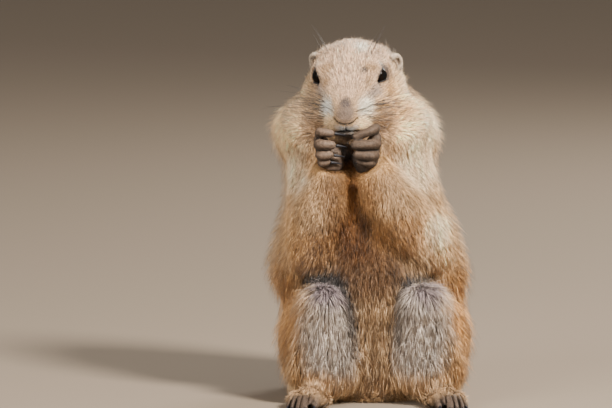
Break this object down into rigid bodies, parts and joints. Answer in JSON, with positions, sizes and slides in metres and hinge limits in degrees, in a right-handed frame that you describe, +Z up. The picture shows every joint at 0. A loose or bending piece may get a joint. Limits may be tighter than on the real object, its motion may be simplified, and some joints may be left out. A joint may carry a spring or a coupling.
{
  "type": "prairie dog, life-size still model",
  "caption": "Still model of a black-tailed prairie dog sitting up on its haunches, both forepaws held to its mouth, hind feet flat and tail laid back.",
  "frame": {"origin": "middle of the bounding box in plan, at floor level", "axes": "+Z up, the animal faces -Y, its left side is at +X and its tail runs towards +Y"},
  "size_m": [0.1293, 0.2319, 0.233],
  "materials": {
    "coat": "short dense golden tan fur",
    "face": "short pale tan fur",
    "shin": "grey-white fur over dark underfur",
    "paw": "thinly furred skin",
    "ear": "thin skin with very short fur",
    "tail": "longer bristly fur, dark at the tip",
    "eye": "wet black, polished",
    "claw": "dark horn, satin"
  },
  "bodies": {
    "root": {"head": "face", "neck": "coat", "torso": "coat", "tail": "tail", "ear_left": "ear", "ear_right": "ear", "eye_left": "eye", "eye_right": "eye", "upper_arm_left": "coat", "upper_arm_right": "coat", "forearm_left": "coat", "forearm_right": "coat", "hand_left": "paw", "hand_right": "paw", "thigh_left": "coat", "thigh_right": "coat", "shin_left": "shin", "shin_right": "shin", "foot_left": "paw", "foot_right": "paw", "claw_hand_left_1": "claw", "claw_hand_left_2": "claw", "claw_hand_left_3": "claw", "claw_hand_left_4": "claw", "claw_hand_right_1": "claw", "claw_hand_right_2": "claw", "claw_hand_right_3": "claw", "claw_hand_right_4": "claw", "claw_foot_left_1": "claw", "claw_foot_left_2": "claw", "claw_foot_left_3": "claw", "claw_foot_left_4": "claw", "claw_foot_left_5": "claw", "claw_foot_right_1": "claw", "claw_foot_right_2": "claw", "claw_foot_right_3": "claw", "claw_foot_right_4": "claw", "claw_foot_right_5": "claw"}
  },
  "joints": []
}
